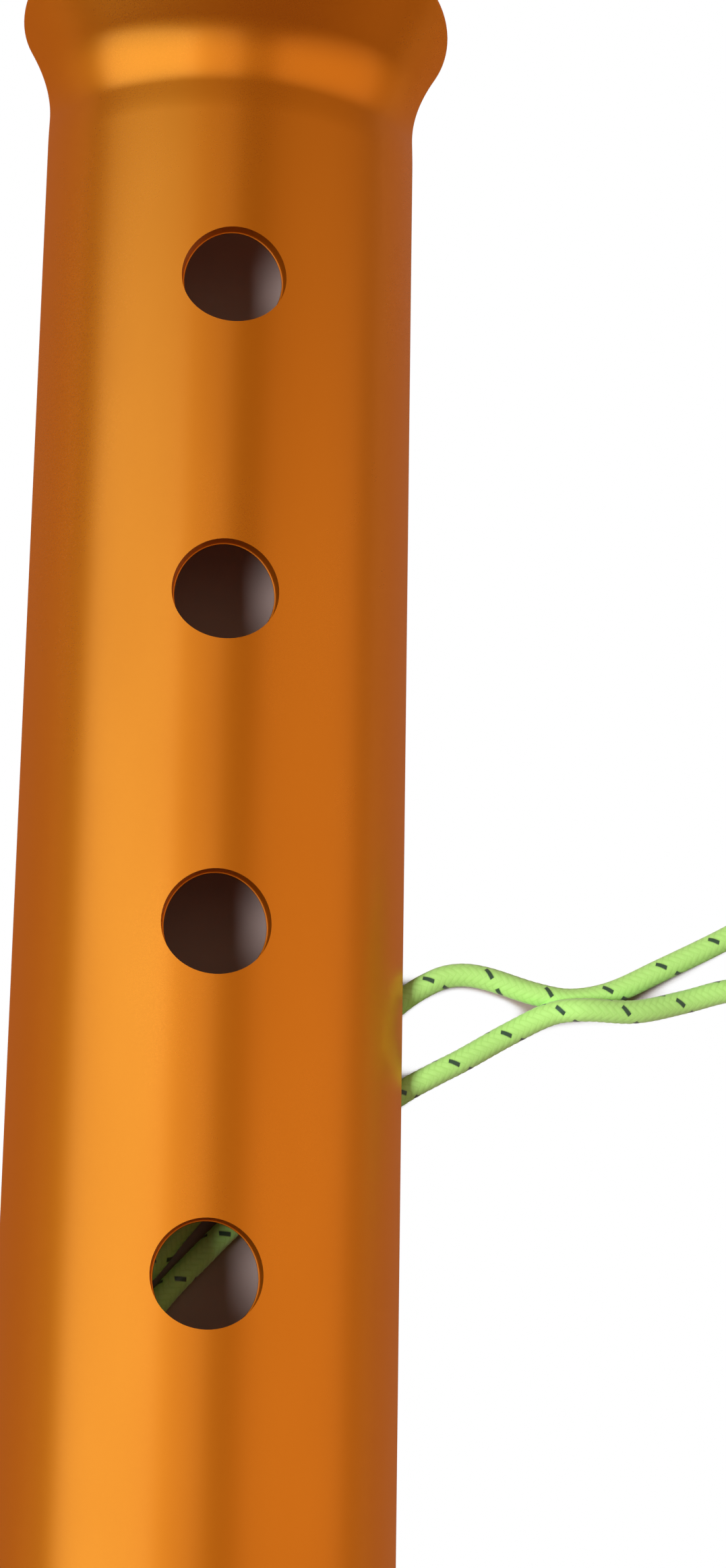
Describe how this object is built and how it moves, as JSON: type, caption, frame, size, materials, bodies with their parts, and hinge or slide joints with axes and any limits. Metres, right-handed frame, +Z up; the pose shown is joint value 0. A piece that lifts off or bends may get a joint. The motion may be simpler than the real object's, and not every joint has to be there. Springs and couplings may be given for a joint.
{
  "type": "snow peg",
  "caption": "Drilled channel snow peg of curved sheet with a flared head, a narrowing round tip and a loop of thin reflective cord through two of its holes.",
  "frame": {"origin": "on the ground, under the middle of the peg's own box, with the peg lying on its side edges", "axes": "+Y along the peg towards its flared head, +Z up, out of the row of holes, and +X to the side where the cord comes out; the peg leans 4.7 degrees towards -X, because one edge is on the ground and the other lies over the cord"},
  "size_m": [0.1006, 0.3, 0.0137],
  "materials": {
    "anodised_sheet": "satin orange anodised, formed sheet",
    "reflective_cord": "round neon green braid with dark reflective tracers"
  },
  "bodies": {
    "root": {"peg_channel": "anodised_sheet", "cord_long_side": "reflective_cord", "cord_through_peg": "reflective_cord", "cord_short_side": "reflective_cord", "joining_knot": "reflective_cord"}
  },
  "joints": []
}
